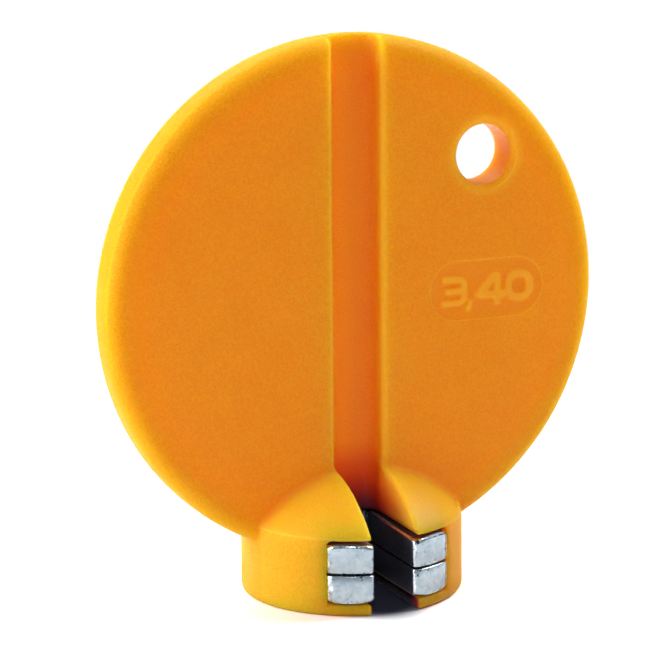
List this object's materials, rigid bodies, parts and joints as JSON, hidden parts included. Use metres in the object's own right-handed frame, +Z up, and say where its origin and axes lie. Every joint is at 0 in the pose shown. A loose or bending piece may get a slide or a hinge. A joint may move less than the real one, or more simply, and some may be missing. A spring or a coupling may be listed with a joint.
{
  "type": "spoke wrench",
  "caption": "Round moulded plastic spoke wrench: a disc handle with a spoke groove and lanyard hole on a domed boss whose slot holds stacked steel jaw plates.",
  "frame": {"origin": "centre of the boss's flat base, on the boss's axis", "axes": "+Z up along the boss's axis and the spoke groove, -Y the side that the groove and slot face, +X to the side of the lanyard hole"},
  "size_m": [0.044, 0.0186, 0.0471],
  "materials": {
    "moulded_plastic": "satin moulded plastic",
    "plated_steel": "bright zinc-plated stamped steel"
  },
  "bodies": {
    "root": {"handle": "moulded_plastic", "upper_jaw_plate": "plated_steel", "lower_jaw_plate": "plated_steel"}
  },
  "joints": []
}
